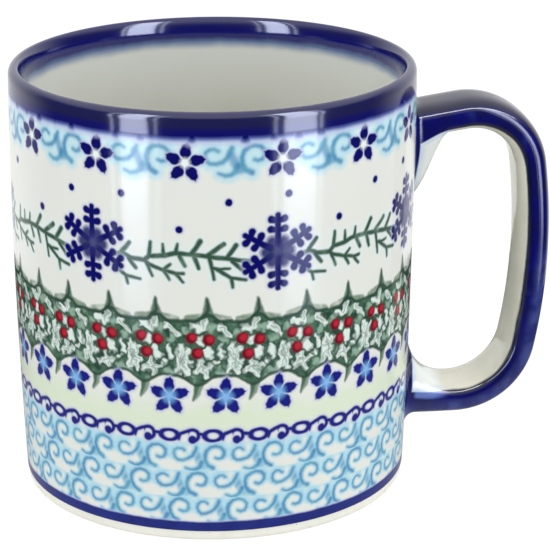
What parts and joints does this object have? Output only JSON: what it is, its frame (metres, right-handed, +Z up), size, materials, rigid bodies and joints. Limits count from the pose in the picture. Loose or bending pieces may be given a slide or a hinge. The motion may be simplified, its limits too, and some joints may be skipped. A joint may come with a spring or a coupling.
{
  "type": "stoneware mug",
  "caption": "Straight-sided glazed stoneware mug with a squared strap handle, cobalt rim and handle, and painted bands of winter folk motifs.",
  "frame": {"origin": "centre of the foot, on the cup's axis, in the plane that the foot ring rests on", "axes": "+Z up along the cup's axis, +X towards the handle, +Y completes a right-handed frame"},
  "size_m": [0.1213, 0.0894, 0.0955],
  "materials": {
    "clay": "fired pale stoneware clay, matte, bare only at the foot ring",
    "painted_glaze": "clear gloss glaze over a white body with painted folk bands in cobalt, pale blue, pine green and red",
    "cobalt_glaze": "gloss cobalt glaze, thinner and lighter where it breaks over edges",
    "cream_glaze": "clear gloss glaze over pale clay"
  },
  "bodies": {
    "root": {"cup_body": "clay", "handle_strap": "clay", "upper_handle_joint": "cobalt_glaze", "lower_handle_joint": "cobalt_glaze", "wall_glaze": "painted_glaze", "rim_glaze": "cobalt_glaze", "liner_glaze": "cream_glaze", "base_glaze": "cream_glaze", "handle_glaze": "cobalt_glaze"}
  },
  "joints": []
}
